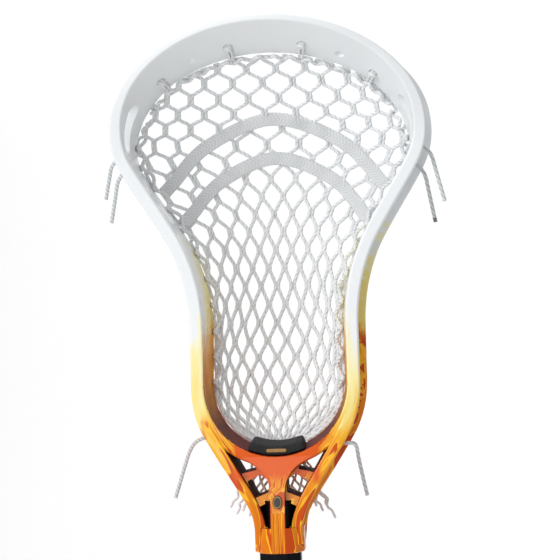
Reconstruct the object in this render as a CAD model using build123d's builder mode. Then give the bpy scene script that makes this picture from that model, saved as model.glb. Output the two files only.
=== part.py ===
from build123d import *
from math import cos, radians, sin, tan
import os

# Lacrosse stick, standing on its butt end.
#
# Frame: the origin is the centre of the end cap's flat underside. +Z runs up the
# shaft to the scoop. The open face of the head looks along -Y, and the mesh pocket
# hangs towards +Y. The sides are mirror images, apart from the loose string ends.
# Millimetres throughout.
#
# A "rise" is a height above the head's lower edge, the mouth of the socket.
# "Front" and "back" are places along Y. "Outward" is away from the open face,
# square to the head's outline as it is seen from the front.

os.makedirs("parts", exist_ok=True)

# ================================================================ driving sizes

# Shaft: octagonal alloy tube
shaft_length = 762.0
shaft_flats = 24.6
shaft_wall = 1.7
shaft_corner = 1.6

# End cap: rubber cup pushed over the butt end
cap_floor = 4.0
cap_skirt = 22.0
cap_wall = 2.6
cap_clearance = 0.1

# Socket: the octagonal bore in the head's throat
socket_depth = 31.0
socket_clearance = 0.15
collar_wall = 2.3
collar_height = 15.0
profile_break = 24.0

# Head outline, seen from the front
head_length = 319.0
head_width = 190.0
waist_width = 101.5
crown_height = 67.0
bowl_floor = 57.0
flank_start = 22.6
flank_end = 81.0
waist_end = 167.0
shoulder_start = 238.5
flank_blends = (35.0, 60.0, 112.0, 47.0)

# Moulded wall
rail_width = 7.6
band_width = 6.4
edge_round = 1.2

# Throat truss
spine_width = 8.6
truss_recess = 2.6

# Windows in the wall at the shoulder and on the flank
shoulder_window = (30.0, 12.0)
flank_window = (20.0, 9.0)

# Stringing holes
string_hole = 4.2
scoop_hole = 6.0
sidewall_hole_pitch = 15.5
sidewall_hole_count = 11
scoop_hole_spread = (25.0, 51.5, 78.5)
scoop_tie_pick = (0, 2)
scoop_hole_depth = 0.64

# Ball stop and its inlay
pad_thickness = 6.2
pad_half_angle = 24.0
pad_front = -9.0
pad_back = 14.5
pad_glue = 0.15
inlay_length = 12.0
inlay_width = 2.0
inlay_proud = 0.6

# Throat badge
badge_width = 5.6
badge_height = 7.8
badge_thickness = 1.6
badge_inset = 0.6
badge_rise = 30.5

# Head screw, at the back of the collar
screw_rise = 8.0
screw_shank = 3.6
screw_head = 7.2
screw_head_height = 2.2
screw_reach = 9.0
screw_clearance = 0.2

# Stringing
net_thickness = 3.0
net_sag = 28.0
net_gap = 4.4
string_size = 2.6
string_gap = 0.8
lace_width = 9.4
lace_thickness = 2.4
lace_gap = 0.4
tail_size = 2.4
tie_size = 1.8
tie_spacing = 2.6

# ============================================================== derived places

collar_z = cap_floor + shaft_length - socket_depth
bore_flats = shaft_flats + 2 * socket_clearance
collar_half = bore_flats / 2 + collar_wall
waist_half = waist_width / 2
widest_half = head_width / 2
widest_rise = head_length - crown_height
bowl_radius = waist_half - rail_width
bowl_centre = bowl_floor + bowl_radius
far = 4 * widest_half

# Steps of the lofts along the outline and along the bowl
rim_steps = 25
bowl_steps = 6

# The bowl band's front and back at its lowest point
bowl_front = -8.5
bowl_back = 20.0
bowl_inner = bowl_radius + 0.25

# The field under the ball stop: the height of its lower edge at the spine, and its tips
field_low = bowl_floor - 7.0
field_angle = radians(46.0)
field_tip = (bowl_radius + band_width - 0.6) * sin(field_angle)
field_high = bowl_centre - (bowl_radius + band_width - 0.6) * cos(field_angle)

# Windows of the truss on its right side: upper, middle and lower (across, rise)
window_round = 1.0
throat_windows = (
    ((field_tip - 1.0, field_high - 1.6), (11.0, field_low - 0.6), (21.8, field_low - 3.0)),
    ((10.7, 46.4), (18.4, 42.4), (13.6, 32.6), (5.4, 35.8), (5.4, 42.6)),
    ((5.4, 30.2), (11.2, 27.6), (8.6, collar_height + 0.8), (5.4, collar_height + 0.4)),
)
window_reach = 16.0

# The wall's shape, at heights from the collar to the tip of the scoop:
# rise, front, back, front rail's width, inward reach at the back,
# outward reach at the back, web thickness, front rail's depth, back rail's depth
wall_stations = (
    (0.0, -11.5, 12.0, 6.4, 6.4, 0.0, 5.6, 6.0, 6.0),
    (0.8 * bowl_floor, -11.5, 17.0, 6.6, 7.6, 3.0, 5.6, 6.5, 6.5),
    (bowl_centre, -3.5, 31.0, 7.6, 10.1, 3.4, 4.4, 8.0, 8.0),
    (waist_end - 20.0, 0.0, 38.0, 7.6, 10.2, 3.6, 4.2, 8.5, 8.5),
    (0.5 * (waist_end + shoulder_start), -1.0, 38.0, 7.6, 7.9, 3.6, 4.2, 8.0, 8.5),
    (shoulder_start - 10.0, -3.0, 36.0, 7.6, 7.8, 3.6, 4.2, 7.5, 8.5),
    (widest_rise, -5.5, 33.0, 7.2, 11.9, 3.6, 4.4, 7.0, 8.0),
    (widest_rise + 0.43 * crown_height, -11.5, 27.0, 5.6, 16.4, 3.0, 4.8, 6.0, 7.0),
    (widest_rise + 0.72 * crown_height, -16.0, 22.0, 4.6, 17.8, 0.0, 4.8, 5.5, 6.0),
    (widest_rise + 0.91 * crown_height, -20.0, 17.0, 4.0, 19.2, -7.0, 4.8, 5.0, 5.0),
    (head_length, -22.0, 14.0, 3.8, 19.4, -11.0, 4.8, 5.0, 5.0),
)


def wall_at(rise):
    """The wall's eight values at a height, on cubic curves through the stations."""
    rises = [row[0] for row in wall_stations]
    last = len(rises) - 2
    low = max(i for i in range(last + 1) if rises[i] <= rise or i == 0)
    span = rises[low + 1] - rises[low]
    t = (rise - rises[low]) / span
    values = []
    for column in range(1, 9):
        heights = [row[column] for row in wall_stations]
        slopes = []
        for i in (low, low + 1):
            before = max(i - 1, 0)
            after = min(i + 1, last + 1)
            slopes.append((heights[after] - heights[before]) / (rises[after] - rises[before]))
        start = (2 * t**3 - 3 * t**2 + 1) * heights[low] + (t**3 - 2 * t**2 + t) * span * slopes[0]
        end = (3 * t**2 - 2 * t**3) * heights[low + 1] + (t**3 - t**2) * span * slopes[1]
        values.append(start + end)
    return values


# The head's outline on its right side, from the collar to the tip of the scoop
with BuildLine(Plane.XZ) as outline:
    FilletPolyline(
        (collar_half - 0.4, collar_z + 5.0),
        (collar_half - 0.4, collar_z + flank_start),
        (waist_half, collar_z + flank_end),
        (waist_half, collar_z + waist_end),
        (widest_half, collar_z + shoulder_start),
        (widest_half, collar_z + widest_rise),
        radius=flank_blends,
    )
    EllipticalCenterArc(
        center=(0, collar_z + widest_rise),
        x_radius=widest_half,
        y_radius=crown_height,
        start_angle=0,
        arc_size=90,
    )
outline_path = outline.wires()[0]

# The bowl's outline, from its lowest point to where it runs into the right sidewall
with BuildLine(Plane.XZ) as bowl_outline:
    CenterArc(
        center=(0, collar_z + bowl_centre),
        radius=bowl_radius + band_width,
        start_angle=-90,
        arc_size=90,
    )
bowl_path = bowl_outline.wires()[0]


def square_to(path, fraction):
    """Plane across a path: its X points outward from the open face and its Y along +Y."""
    place = path @ fraction
    run = path % fraction
    outward = Vector(run.Z, 0, -run.X)
    return Plane(origin=place, x_dir=outward, z_dir=Vector(-outward.Z, 0, outward.X))


def wall_point(fraction, outward, depth, side=1):
    """A point beside the outline, from its outward distance and its place along Y."""
    plane = square_to(outline_path, fraction)
    place = plane.origin + plane.x_dir * outward
    return Vector(side * place.X, depth, place.Z)


def fraction_at(rise):
    """The outline's fraction at a height, found by halving."""
    low, high = 0.0, 1.0
    for _ in range(40):
        middle = (low + high) / 2
        if (outline_path @ middle).Z - collar_z < rise:
            low = middle
        else:
            high = middle
    return low


def inner_face(values, depth):
    """Outward place of the wall's inner face, at a place along Y."""
    front, back, rail, inward = values[0:4]
    return -rail - (inward - rail) * (depth - front) / (back - front)


# ========================================================================= head


def wall_section(values):
    """Corners and their radii for the wall: two rails joined by a web, open outward."""
    front, back, rail, inward, outward, web, front_depth, back_depth = values
    upper = front + front_depth
    lower = back - back_depth
    corners = (
        (0, front),
        (0, upper - 1.5),
        (inner_face(values, upper) + web, upper + 1.0),
        (inner_face(values, lower) + web, lower - 1.0),
        (outward, lower + 1.5),
        (outward, back),
        (-inward, back),
        (-rail, front),
    )
    return corners, (edge_round, 0.6, 0.6, 0.6, 0.6, edge_round, edge_round, edge_round)


# Windows in the sidewall: height, size and place along Y
wall_windows = (
    (widest_rise + 6.0, shoulder_window, 8.0),
    (0.5 * (waist_end + shoulder_start), flank_window, 18.0),
)

# String holes: fraction of the outline, place along Y and size
outline_length = outline_path.length
hole_start = fraction_at(bowl_centre)
string_fractions = [
    hole_start + i * sidewall_hole_pitch / outline_length for i in range(sidewall_hole_count)
]
string_holes = [
    (fraction, wall_at((outline_path @ fraction).Z - collar_z)[1] - 4.0, string_hole)
    for fraction in string_fractions
]


def scoop_hole_place(spread):
    """Fraction of the outline and place along Y of a scoop hole, from its spread."""
    fraction = 1 - spread / outline_length
    front, back = wall_at((outline_path @ fraction).Z - collar_z)[0:2]
    return fraction, front + scoop_hole_depth * (back - front)


string_holes += [(*scoop_hole_place(spread), scoop_hole) for spread in scoop_hole_spread]

badge_slope = (collar_half + 0.8 + bowl_front - 0.2) / (bowl_floor - profile_break)
badge_plane = Plane(
    origin=(0, -collar_half - 0.8 + badge_slope * (badge_rise - profile_break), collar_z + badge_rise),
    x_dir=(1, 0, 0),
    z_dir=(0, -1, badge_slope),
)


def bowl_at(rise):
    """The bowl band's front, back, rail width and inward reach at a height."""
    side = wall_at(bowl_centre)
    blend = max(0.0, (rise - bowl_floor) / (bowl_centre - bowl_floor)) ** 1.5
    front = bowl_front + (side[0] - bowl_front) * blend
    back = bowl_back + (side[1] - bowl_back) * blend
    return front, back, side[2], side[3]


# The rim: rails and sidewalls from the collar, round the shoulder, to the scoop
with BuildPart() as rim:
    for step in range(rim_steps + 1):
        plane = square_to(outline_path, step / rim_steps)
        corners, radii = wall_section(wall_at(plane.origin.Z - collar_z))
        with BuildSketch(plane):
            with BuildLine():
                FilletPolyline(*corners, radius=radii, close=True)
            make_face()
    loft()
    mirror(about=Plane.YZ)

# The bowl: the band under the ball stop, which runs up into the sidewalls
with BuildPart() as bowl:
    for step in range(bowl_steps + 1):
        plane = square_to(bowl_path, step / bowl_steps)
        front, back, rail, inward = bowl_at(plane.origin.Z - collar_z)
        with BuildSketch(plane):
            with BuildLine():
                FilletPolyline(
                    (0, front),
                    (0, back),
                    (-band_width - inward + rail, back),
                    (-band_width, front),
                    radius=edge_round,
                    close=True,
                )
            make_face()
    loft()
    mirror(about=Plane.YZ)

# The throat's side profile: the front edge falls back and the back edge swells upward
with BuildPart() as throat_profile:
    with BuildSketch(Plane.YZ):
        Polygon(
            (-collar_half - 0.8, collar_z),
            (-collar_half - 0.8, collar_z + profile_break),
            (bowl_front - 0.2, collar_z + bowl_floor),
            (bowl_front - 0.2, collar_z + bowl_centre),
            (bowl_back + 0.2, collar_z + bowl_centre),
            (bowl_back + 0.2, collar_z + bowl_floor),
            (collar_half + 0.2, collar_z + profile_break),
            (collar_half + 0.2, collar_z),
            align=None,
        )
    extrude(amount=far, both=True)

# The spine, which runs from the collar up into the field under the ball stop
with BuildPart() as spine:
    with BuildSketch(Plane.XZ):
        with BuildLine():
            foot = Polyline(
                (0, collar_z + 1.0),
                (spine_width / 2, collar_z + 1.0),
                (spine_width / 2, collar_z + field_low - 15.0),
            )
            flare = Spline(
                foot @ 1,
                (spine_width / 2 + 4.6, collar_z + field_low - 1.5),
                (field_tip, collar_z + field_high),
                tangents=((0, 1), (1, 1)),
            )
            tip = Line(
                flare @ 1,
                (
                    bowl_inner * sin(field_angle),
                    collar_z + bowl_centre - bowl_inner * cos(field_angle),
                ),
            )
            rim_of_bowl = ThreePointArc(
                tip @ 1,
                (
                    bowl_inner * sin(field_angle / 2),
                    collar_z + bowl_centre - bowl_inner * cos(field_angle / 2),
                ),
                (0, collar_z + bowl_centre - bowl_inner),
            )
            Line(rim_of_bowl @ 1, foot @ 0)
        make_face()
        mirror(about=Plane.YZ)
    extrude(amount=far, both=True)
    add(throat_profile.part, mode=Mode.INTERSECT)

# The truss between spine and rails, set back from both
with BuildPart() as truss:
    with BuildSketch(Plane.XZ):
        Polygon(
            (0, collar_z + collar_height - 4.0),
            (collar_half - 3.0, collar_z + collar_height - 4.0),
            (collar_half - 3.0, collar_z + flank_start),
            (field_tip + 2.0, collar_z + field_high + 1.0),
            (0, collar_z + field_low),
            align=None,
        )
        mirror(about=Plane.YZ)
    extrude(amount=far, both=True)
    add(throat_profile.part.moved(Location((0, truss_recess + 2.0, 0))), mode=Mode.INTERSECT)
    add(throat_profile.part.moved(Location((0, -truss_recess - 1.0, 0))), mode=Mode.INTERSECT)
    with BuildSketch(Plane.XZ):
        for side in (1, -1):
            for corners in throat_windows:
                with BuildLine():
                    FilletPolyline(
                        *[(side * x, collar_z + rise) for x, rise in corners],
                        radius=window_round,
                        close=True,
                    )
                make_face()
    extrude(amount=far, both=True, mode=Mode.SUBTRACT)

# The collar round the socket, with the spine's flat at its front
with BuildPart() as collar:
    with BuildSketch(Plane.XY.offset(collar_z)):
        with BuildLine():
            FilletPolyline(
                (spine_width / 2, -collar_half - 0.8),
                (0.72 * collar_half, -0.84 * collar_half),
                (collar_half, -0.41 * collar_half),
                (collar_half, 0.41 * collar_half),
                (0.72 * collar_half, 0.84 * collar_half),
                (spine_width / 2, collar_half + 0.2),
                (-spine_width / 2, collar_half + 0.2),
                (-0.72 * collar_half, 0.84 * collar_half),
                (-collar_half, 0.41 * collar_half),
                (-collar_half, -0.41 * collar_half),
                (-0.72 * collar_half, -0.84 * collar_half),
                (-spine_width / 2, -collar_half - 0.8),
                radius=0.8,
                close=True,
            )
        make_face()
    extrude(amount=collar_height)
    chamfer(collar.faces().sort_by(Axis.Z)[0].edges(), 0.6)

with BuildPart() as head_frame:
    add(rim.part)
    add(bowl.part)
    add(spine.part)
    add(truss.part)
    add(collar.part)
    # Socket for the shaft
    with BuildSketch(Plane.XY.offset(collar_z - 1.0)) as bore:
        RegularPolygon(bore_flats / 2, 8, major_radius=False, rotation=22.5)
        fillet(bore.vertices(), radius=shaft_corner)
    extrude(amount=socket_depth + 1.0, mode=Mode.SUBTRACT)
    # Windows in the sidewalls
    for rise, (length, width), depth in wall_windows:
        for side in (1, -1):
            plane = square_to(outline_path, fraction_at(rise))
            centre = Vector(side * plane.origin.X, depth, plane.origin.Z)
            along = Vector(side * plane.z_dir.X, 0, plane.z_dir.Z)
            across = Vector(side * plane.x_dir.X, 0, plane.x_dir.Z)
            with BuildSketch(Plane(origin=centre, x_dir=along, z_dir=across)):
                SlotOverall(length, width)
            extrude(amount=window_reach, both=True, mode=Mode.SUBTRACT)
    # String holes through the back rails, and through the scoop's inner face
    for side in (1, -1):
        for fraction, depth, size in string_holes:
            plane = square_to(outline_path, fraction)
            centre = Vector(side * plane.origin.X, depth, plane.origin.Z)
            across = Vector(side * plane.x_dir.X, 0, plane.x_dir.Z)
            with Locations(Plane(origin=centre, z_dir=across)):
                Cylinder(size / 2, 2 * window_reach + 20.0, mode=Mode.SUBTRACT)
    # Clearance hole for the head screw, and the seat of the throat badge
    with Locations(Plane(origin=(0, collar_half, collar_z + screw_rise), z_dir=(0, 1, 0))):
        Cylinder(screw_shank / 2 + screw_clearance, 3 * collar_wall, mode=Mode.SUBTRACT)
    with BuildSketch(badge_plane):
        Ellipse(badge_width / 2 + 0.1, badge_height / 2 + 0.1)
    extrude(amount=-badge_inset, mode=Mode.SUBTRACT)
head_frame.part.label = "head_frame"
export_step(head_frame.part, "parts/head_frame.step")
print("head_frame solids", len(head_frame.part.solids()), "volume", head_frame.part.volume)


# ===================================================================== ball stop


def pad_face(depth):
    """Radius of the bowl's inner face about the bowl's centre, at a place along Y."""
    side = wall_at(bowl_centre)
    lean = (side[3] - side[2]) / (bowl_back - bowl_front)
    return bowl_radius - lean * (depth - bowl_front) - pad_glue


bowl_axis = Axis((0, 0, collar_z + bowl_centre), (0, 1, 0))

with BuildPart() as ball_stop:
    with BuildSketch(Plane.YZ):
        with BuildLine():
            FilletPolyline(
                (pad_front, collar_z + bowl_centre - pad_face(pad_front)),
                (pad_back, collar_z + bowl_centre - pad_face(pad_back)),
                (pad_back, collar_z + bowl_centre - pad_face(pad_back) + 0.6 * pad_thickness),
                (pad_front, collar_z + bowl_centre - pad_face(pad_front) + pad_thickness),
                radius=(0.4, 0.4, 1.6, 1.2),
                close=True,
            )
        make_face()
    revolve(axis=bowl_axis, revolution_arc=pad_half_angle)
    mirror(about=Plane.YZ)
ball_stop.part.label = "ball_stop"
export_step(ball_stop.part, "parts/ball_stop.step")

inlay_z = collar_z + bowl_centre - pad_face(pad_front) + 0.58 * pad_thickness
with BuildPart() as ball_stop_inlay:
    with BuildSketch(Plane.XZ.offset(-pad_front)):
        with Locations((0, inlay_z)):
            SlotOverall(inlay_length, inlay_width)
    extrude(amount=inlay_proud)
    chamfer(ball_stop_inlay.faces().sort_by(Axis.Y)[0].edges(), 0.3)
ball_stop_inlay.part.label = "ball_stop_inlay"
export_step(ball_stop_inlay.part, "parts/ball_stop_inlay.step")

# ================================================================= throat badge

with BuildPart() as throat_badge:
    with BuildSketch(badge_plane.offset(-badge_inset)):
        Ellipse(badge_width / 2, badge_height / 2)
    extrude(amount=badge_thickness)
    chamfer(throat_badge.faces().sort_by(Axis.Y)[0].edges(), 0.4)
throat_badge.part.label = "throat_badge"
export_step(throat_badge.part, "parts/throat_badge.step")

# ======================================================================== shaft

with BuildPart() as shaft:
    with BuildSketch(Plane.XY.offset(cap_floor)) as shaft_section:
        RegularPolygon(shaft_flats / 2, 8, major_radius=False, rotation=22.5)
        fillet(shaft_section.vertices(), radius=shaft_corner)
        offset(amount=-shaft_wall, mode=Mode.SUBTRACT)
    extrude(amount=shaft_length)
    # Pilot hole for the head screw
    with Locations(Plane(origin=(0, shaft_flats / 2, collar_z + screw_rise), z_dir=(0, 1, 0))):
        Cylinder(screw_shank / 2, 4 * shaft_wall, mode=Mode.SUBTRACT)
shaft.part.label = "shaft"
export_step(shaft.part, "parts/shaft.step")

with BuildPart() as end_cap:
    with BuildSketch(Plane.XY) as cap_outside:
        RegularPolygon(shaft_flats / 2 + cap_wall, 8, major_radius=False, rotation=22.5)
        fillet(cap_outside.vertices(), radius=shaft_corner + cap_wall)
    extrude(amount=cap_floor + cap_skirt)
    with BuildSketch(Plane.XY.offset(cap_floor)) as cap_inside:
        RegularPolygon(shaft_flats / 2 + cap_clearance, 8, major_radius=False, rotation=22.5)
        fillet(cap_inside.vertices(), radius=shaft_corner)
    extrude(amount=cap_skirt, mode=Mode.SUBTRACT)
    fillet(end_cap.faces().sort_by(Axis.Z)[0].edges(), radius=1.5)
    chamfer(end_cap.faces().sort_by(Axis.Z)[-1].outer_wire().edges(), 1.0)
end_cap.part.label = "end_cap"
export_step(end_cap.part, "parts/end_cap.step")

# =================================================================== head screw

screw_plane = Plane(origin=(0, collar_half + 0.2, collar_z + screw_rise), z_dir=(0, 1, 0))
with BuildPart() as head_screw:
    with BuildSketch(screw_plane):
        Circle(screw_head / 2)
    extrude(amount=screw_head_height)
    fillet(head_screw.faces().sort_by(Axis.Y)[-1].edges(), radius=1.2)
    with BuildSketch(screw_plane):
        Circle(screw_shank / 2)
    extrude(amount=-screw_reach)
    with BuildSketch(screw_plane.offset(screw_head_height - 1.0)):
        Rectangle(4.4, 1.0)
        Rectangle(1.0, 4.4)
    extrude(amount=2.0, mode=Mode.SUBTRACT)
head_screw.part.label = "head_screw"
export_step(head_screw.part, "parts/head_screw.step")

# ================================================================== mesh pocket

# Rows of the pocket from the bowl to the scoop: half width, rise, edge's place
# along Y, and how far the middle hangs behind the edge
pocket_sag = (
    (0.0, 0.10),
    (0.12, 0.55),
    (0.28, 0.92),
    (0.45, 1.0),
    (0.62, 1.0),
    (0.80, 0.80),
    (0.93, 0.36),
    (1.0, 0.06),
)


def sag_at(share):
    """How far the pocket hangs behind its edge, at a share of its height."""
    for (low, start), (high, end) in zip(pocket_sag, pocket_sag[1:]):
        if share <= high:
            t = (share - low) / (high - low)
            return net_sag * (start + (end - start) * t * t * (3 - 2 * t))
    return net_sag * pocket_sag[-1][1]


def pocket_rows():
    """Half width, rise and edge place of each row, bottom to top."""
    rows = []
    side = wall_at(bowl_centre)
    for angle in (26.0, 44.0, 64.0):
        front, back, rail, inward = bowl_at(bowl_centre - bowl_radius * cos(radians(angle)))
        reach = bowl_radius - (side[3] - side[2]) - net_gap
        rise = bowl_centre - reach * cos(radians(angle))
        rows.append((reach * sin(radians(angle)), rise, back - 1.0))
    for share in (0.30, 0.40, 0.50, 0.58, 0.66, 0.74, 0.82, 0.88, 0.93, 0.97):
        place = outline_path @ share
        values = wall_at(place.Z - collar_z)
        edge = wall_point(share, -values[3] - net_gap, values[1])
        rows.append((edge.X, edge.Z - collar_z, values[1] - 1.0))
    return rows


rows = pocket_rows()
pocket_low = rows[0][1]
pocket_high = rows[-1][1]


def pocket_shell(offset_back, thickness):
    """The pocket's curved sheet, set back from the net's front face by an offset."""
    with BuildPart() as shell:
        for half, rise, edge in rows:
            sag = sag_at((rise - pocket_low) / (pocket_high - pocket_low))
            near = edge + offset_back
            deep = near + sag
            with BuildSketch(Plane.XY.offset(collar_z + rise)):
                with BuildLine():
                    inner = ThreePointArc((-half, near), (0, deep), (half, near))
                    outer = ThreePointArc(
                        (-half, near + thickness), (0, deep + thickness), (half, near + thickness)
                    )
                    Line(inner @ 0, outer @ 0)
                    Line(inner @ 1, outer @ 1)
                make_face()
        loft()
    return shell.part


with BuildPart() as mesh_pocket:
    add(pocket_shell(0.0, net_thickness))
mesh_pocket.part.label = "mesh_pocket"
export_step(mesh_pocket.part, "parts/mesh_pocket.step")

# The mesh's lower end, which fans out behind the throat
tail_front = bowl_back + 3.4
with BuildPart() as mesh_tail:
    with BuildSketch(Plane.XZ.offset(-tail_front)):
        Polygon(
            (-12.0, collar_z + bowl_floor + 4.0),
            (-30.0, collar_z + 33.0),
            (-39.0, collar_z + 21.0),
            (-17.0, collar_z + 19.0),
            (0.0, collar_z + 24.0),
            (17.0, collar_z + 19.0),
            (30.0, collar_z + 20.0),
            (25.0, collar_z + 33.0),
            (12.0, collar_z + bowl_floor + 4.0),
            align=None,
        )
    extrude(amount=-2.4)
mesh_tail.part.label = "mesh_tail"
export_step(mesh_tail.part, "parts/mesh_tail.step")

# =============================================================== shooting laces

# Each lace crosses the pocket as an arch: height of its crown, and its legs' place
lace_arches = {
    "shooting_lace_upper": (263.0, 70.0, 219.0),
    "shooting_lace_lower": (239.0, 59.0, 199.0),
}
lace_sheet = pocket_shell(-lace_gap - lace_thickness, lace_thickness)
for name, (crown, leg, foot) in lace_arches.items():
    with BuildPart() as lace:
        with BuildSketch(Plane.XZ):
            with BuildLine():
                Spline(
                    (-leg, collar_z + foot),
                    (-0.62 * leg, collar_z + crown - 0.36 * (crown - foot)),
                    (0, collar_z + crown),
                    (0.62 * leg, collar_z + crown - 0.36 * (crown - foot)),
                    (leg, collar_z + foot),
                )
            trace(line_width=lace_width)
        extrude(amount=far, both=True)
        add(lace_sheet, mode=Mode.INTERSECT)
    lace.part.label = name
    export_step(lace.part, f"parts/{name}.step")
    print(name, "solids", len(lace.part.solids()), "volume", round(lace.part.volume))


# ===================================================================== strings


def string_radii(points):
    """Radius at each inner point: as large as its two runs allow."""
    radii = []
    for before, corner, after in zip(points, points[1:], points[2:]):
        arriving = Vector(corner) - Vector(before)
        leaving = Vector(after) - Vector(corner)
        turn = radians(arriving.get_angle(leaving))
        radii.append(0.45 * min(arriving.length, leaving.length) / tan(turn / 2))
    return radii


def string_tube(name, strands, size):
    """One node of round strings, each along straight runs joined by tangent arcs."""
    with BuildPart() as tube:
        for points in strands:
            radii = string_radii(points)
            with BuildLine() as route:
                FilletPolyline(*points, radius=radii)
            wire = route.wires()[0]
            with BuildSketch(Plane(origin=wire @ 0, z_dir=wire % 0)):
                Circle(size / 2)
            sweep(path=wire)
            print(name, "length", round(wire.length, 1), "radii", [round(r, 1) for r in radii])
    tube.part.label = name
    export_step(tube.part, f"parts/{name}.step")
    return tube.part


# Lacing along the back rails and along the scoop's back edge
string_inset = string_size / 2 + string_gap


def edge_string(shares, side):
    """Points beside the wall's inner back edge, at fractions of the outline."""
    points = []
    for share in shares:
        values = wall_at((outline_path @ share).Z - collar_z)
        points.append(wall_point(share, -values[3] - string_inset, values[1] - 1.5, side))
    return points


rail_shares = (0.24, 0.29, 0.34, 0.39, 0.44, 0.49, 0.54, 0.59, 0.64, 0.68, 0.72)
scoop_shares = (0.745, 0.80, 0.86, 0.92, 0.975)
string_tube("sidewall_string_right", [edge_string(rail_shares, 1)], string_size)
string_tube("sidewall_string_left", [edge_string(rail_shares, -1)], string_size)
string_tube(
    "top_string",
    [edge_string(scoop_shares, -1) + edge_string(scoop_shares, 1)[::-1]],
    string_size,
)

# Ties through the scoop's holes: two strands each, from the hole to the top string
ties = []
for side in (1, -1):
    for pick in scoop_tie_pick:
        share, depth = scoop_hole_place(scoop_hole_spread[pick])
        values = wall_at((outline_path @ share).Z - collar_z)
        for half_step in (-0.5, 0.5):
            strand = share + half_step * tie_spacing / outline_length
            face = inner_face(values, depth)
            edge = inner_face(values, values[1])
            ties.append(
                [
                    wall_point(strand, face + 3.0, depth, side),
                    wall_point(strand, face - 0.5 * tie_size - 0.6, depth + 0.9, side),
                    wall_point(strand, edge - 0.5 * tie_size - 0.3, values[1] - 4.2, side),
                ]
            )
string_tube("scoop_ties", ties, tie_size)

# Lashing of the pocket's lower end, behind the bowl
low_reach = bowl_radius + 0.5
string_tube(
    "bottom_string",
    [
        [
            Vector(
                low_reach * sin(radians(angle)),
                bowl_back + 0.2 + string_size / 2,
                collar_z + bowl_centre - low_reach * cos(radians(angle)),
            )
            for angle in (-36, -18, 0, 18, 36)
        ]
    ],
    string_size,
)

# Loose ends: routes from the hole they leave, chosen by hand (across, back, rise)
string_tails = {
    "string_tail_upper_left_a": (
        (-90.5, 18.5, 240.5),
        (-98.2, 21.0, 238.0),
        (-101.5, 28.0, 228.0),
        (-105.0, 34.0, 216.0),
    ),
    "string_tail_upper_left_b": (
        (-87.4, 18.5, 232.5),
        (-94.6, 21.0, 229.5),
        (-97.8, 27.0, 216.5),
        (-101.5, 31.0, 201.0),
    ),
    "string_tail_upper_right_a": (
        (90.3, 13.0, 241.0),
        (97.0, 11.0, 238.5),
        (100.5, 7.0, 223.0),
        (104.8, 4.0, 206.0),
    ),
    "string_tail_upper_right_b": (
        (86.4, 18.5, 230.5),
        (93.2, 21.0, 227.0),
        (95.8, 26.0, 212.0),
        (99.2, 30.0, 194.5),
    ),
    "string_tail_lower_left": (
        (-43.5, 24.6, 66.8),
        (-50.0, 25.0, 66.2),
        (-56.0, 25.6, 60.5),
        (-61.0, 26.3, 46.0),
        (-66.5, 27.0, 29.5),
    ),
    "string_tail_lower_right": (
        (41.5, -4.0, 63.5),
        (44.5, 6.0, 63.0),
        (46.8, 17.0, 60.5),
        (47.5, 22.5, 52.0),
        (49.5, 25.0, 41.0),
        (52.0, 26.5, 28.5),
    ),
}
for name, points in string_tails.items():
    string_tube(name, [[Vector(x, y, collar_z + rise) for x, y, rise in points]], tail_size)
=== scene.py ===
# %% [markdown]
# # Lacrosse stick
# The stick stands on its butt end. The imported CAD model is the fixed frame, and every
# piece made here sits on it in metres. The head, the shaft, the cap and the screw keep
# their CAD shapes and get a finish. The net, the laces, the strings and the foam pad are
# soft goods, so each gets a shape of its own in place of its plain CAD solid.

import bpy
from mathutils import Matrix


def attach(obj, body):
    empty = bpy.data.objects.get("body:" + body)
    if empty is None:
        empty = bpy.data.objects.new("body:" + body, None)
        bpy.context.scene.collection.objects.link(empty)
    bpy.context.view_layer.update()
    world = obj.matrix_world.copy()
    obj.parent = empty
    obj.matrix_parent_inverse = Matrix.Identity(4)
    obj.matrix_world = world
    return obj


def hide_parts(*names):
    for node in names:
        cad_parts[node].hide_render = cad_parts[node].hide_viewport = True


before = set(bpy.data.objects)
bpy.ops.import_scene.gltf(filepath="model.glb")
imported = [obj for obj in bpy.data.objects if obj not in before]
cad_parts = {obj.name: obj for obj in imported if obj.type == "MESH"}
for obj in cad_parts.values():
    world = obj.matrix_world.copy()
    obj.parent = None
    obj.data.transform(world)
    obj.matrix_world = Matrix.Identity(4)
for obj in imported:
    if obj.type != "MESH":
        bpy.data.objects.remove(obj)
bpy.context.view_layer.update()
print("CAD nodes:", len(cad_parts))

import bmesh
import bpy
import numpy as np
from mathutils import Matrix, Vector

MM = 0.001
COLLAR = 735.0  # height of the head's lower edge, mm
HEAD = 897.0  # height of the head's middle, mm

# %% [markdown]
# ## Tools for finishes
# A finish is a small network of nodes. One function turns a colour code into the linear
# values that the renderer mixes, and one function adds a node with its settings and its
# links. Nodes could each be placed by hand, but this way a network reads as a short list.

# %% Colours and nodes


def linear(code):
    """sRGB hex code to linear RGBA: the standard curve, a power of 2.4 above a short straight
    foot.
    """
    values = [int(code[i : i + 2], 16) / 255 for i in (1, 3, 5)]
    return tuple(v / 12.92 if v <= 0.04045 else ((v + 0.055) / 1.055) ** 2.4 for v in values) + (1.0,)


def add(tree, kind, settings=None, **links):
    """Adds a node. Settings are socket values or the node's own properties; links name a socket
    and the output that feeds it. A number for a socket is written _0, _1 and so on.
    """
    node = tree.nodes.new("ShaderNode" + kind)
    for key, value in (settings or {}).items():
        if isinstance(key, int) or key in node.inputs:
            node.inputs[key].default_value = value
        else:
            setattr(node, key, value)
    for key, output in links.items():
        socket = int(key[1:]) if key.startswith("_") else key.replace("_", " ")
        tree.links.new(node.inputs[socket], output)
    return node


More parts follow.
